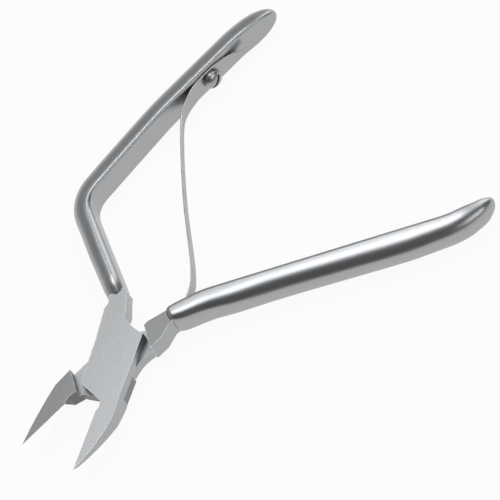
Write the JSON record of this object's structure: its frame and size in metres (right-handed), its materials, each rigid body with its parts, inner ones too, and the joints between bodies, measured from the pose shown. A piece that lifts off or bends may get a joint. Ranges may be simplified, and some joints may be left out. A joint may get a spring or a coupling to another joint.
{
  "type": "cuticle nipper",
  "caption": "Hand nipper with offset handles, pointed bevelled cutting jaws, a flush riveted lap joint and a screwed-on leaf return spring.",
  "frame": {"origin": "the rivet's axis in the underside of the lap joint", "axes": "+X from the rivet towards the handles, +Y towards the kneed handle, +Z out of the joint's upper face along the rivet"},
  "size_m": [0.1185, 0.0927, 0.0076],
  "materials": {
    "forging_steel": "satin",
    "rivet_steel": "satin, ground flush",
    "spring_steel": "satin",
    "screw_steel": "satin"
  },
  "bodies": {
    "kneed_side": {"bent_half": "forging_steel", "pivot_rivet": "rivet_steel", "leaf_spring": "spring_steel", "spring_screw": "screw_steel"},
    "straight_side": {"straight_half": "forging_steel"}
  },
  "joints": [
    {"name": "pivot", "type": "hinge", "parent": "kneed_side", "child": "straight_side", "pos_m": [0, 0, 0.0027], "axis": [0, 0, 1], "range_deg": [0, 28.9], "stiffness_Nm_per_rad": 1.2, "deforming": ["leaf_spring"]}
  ]
}
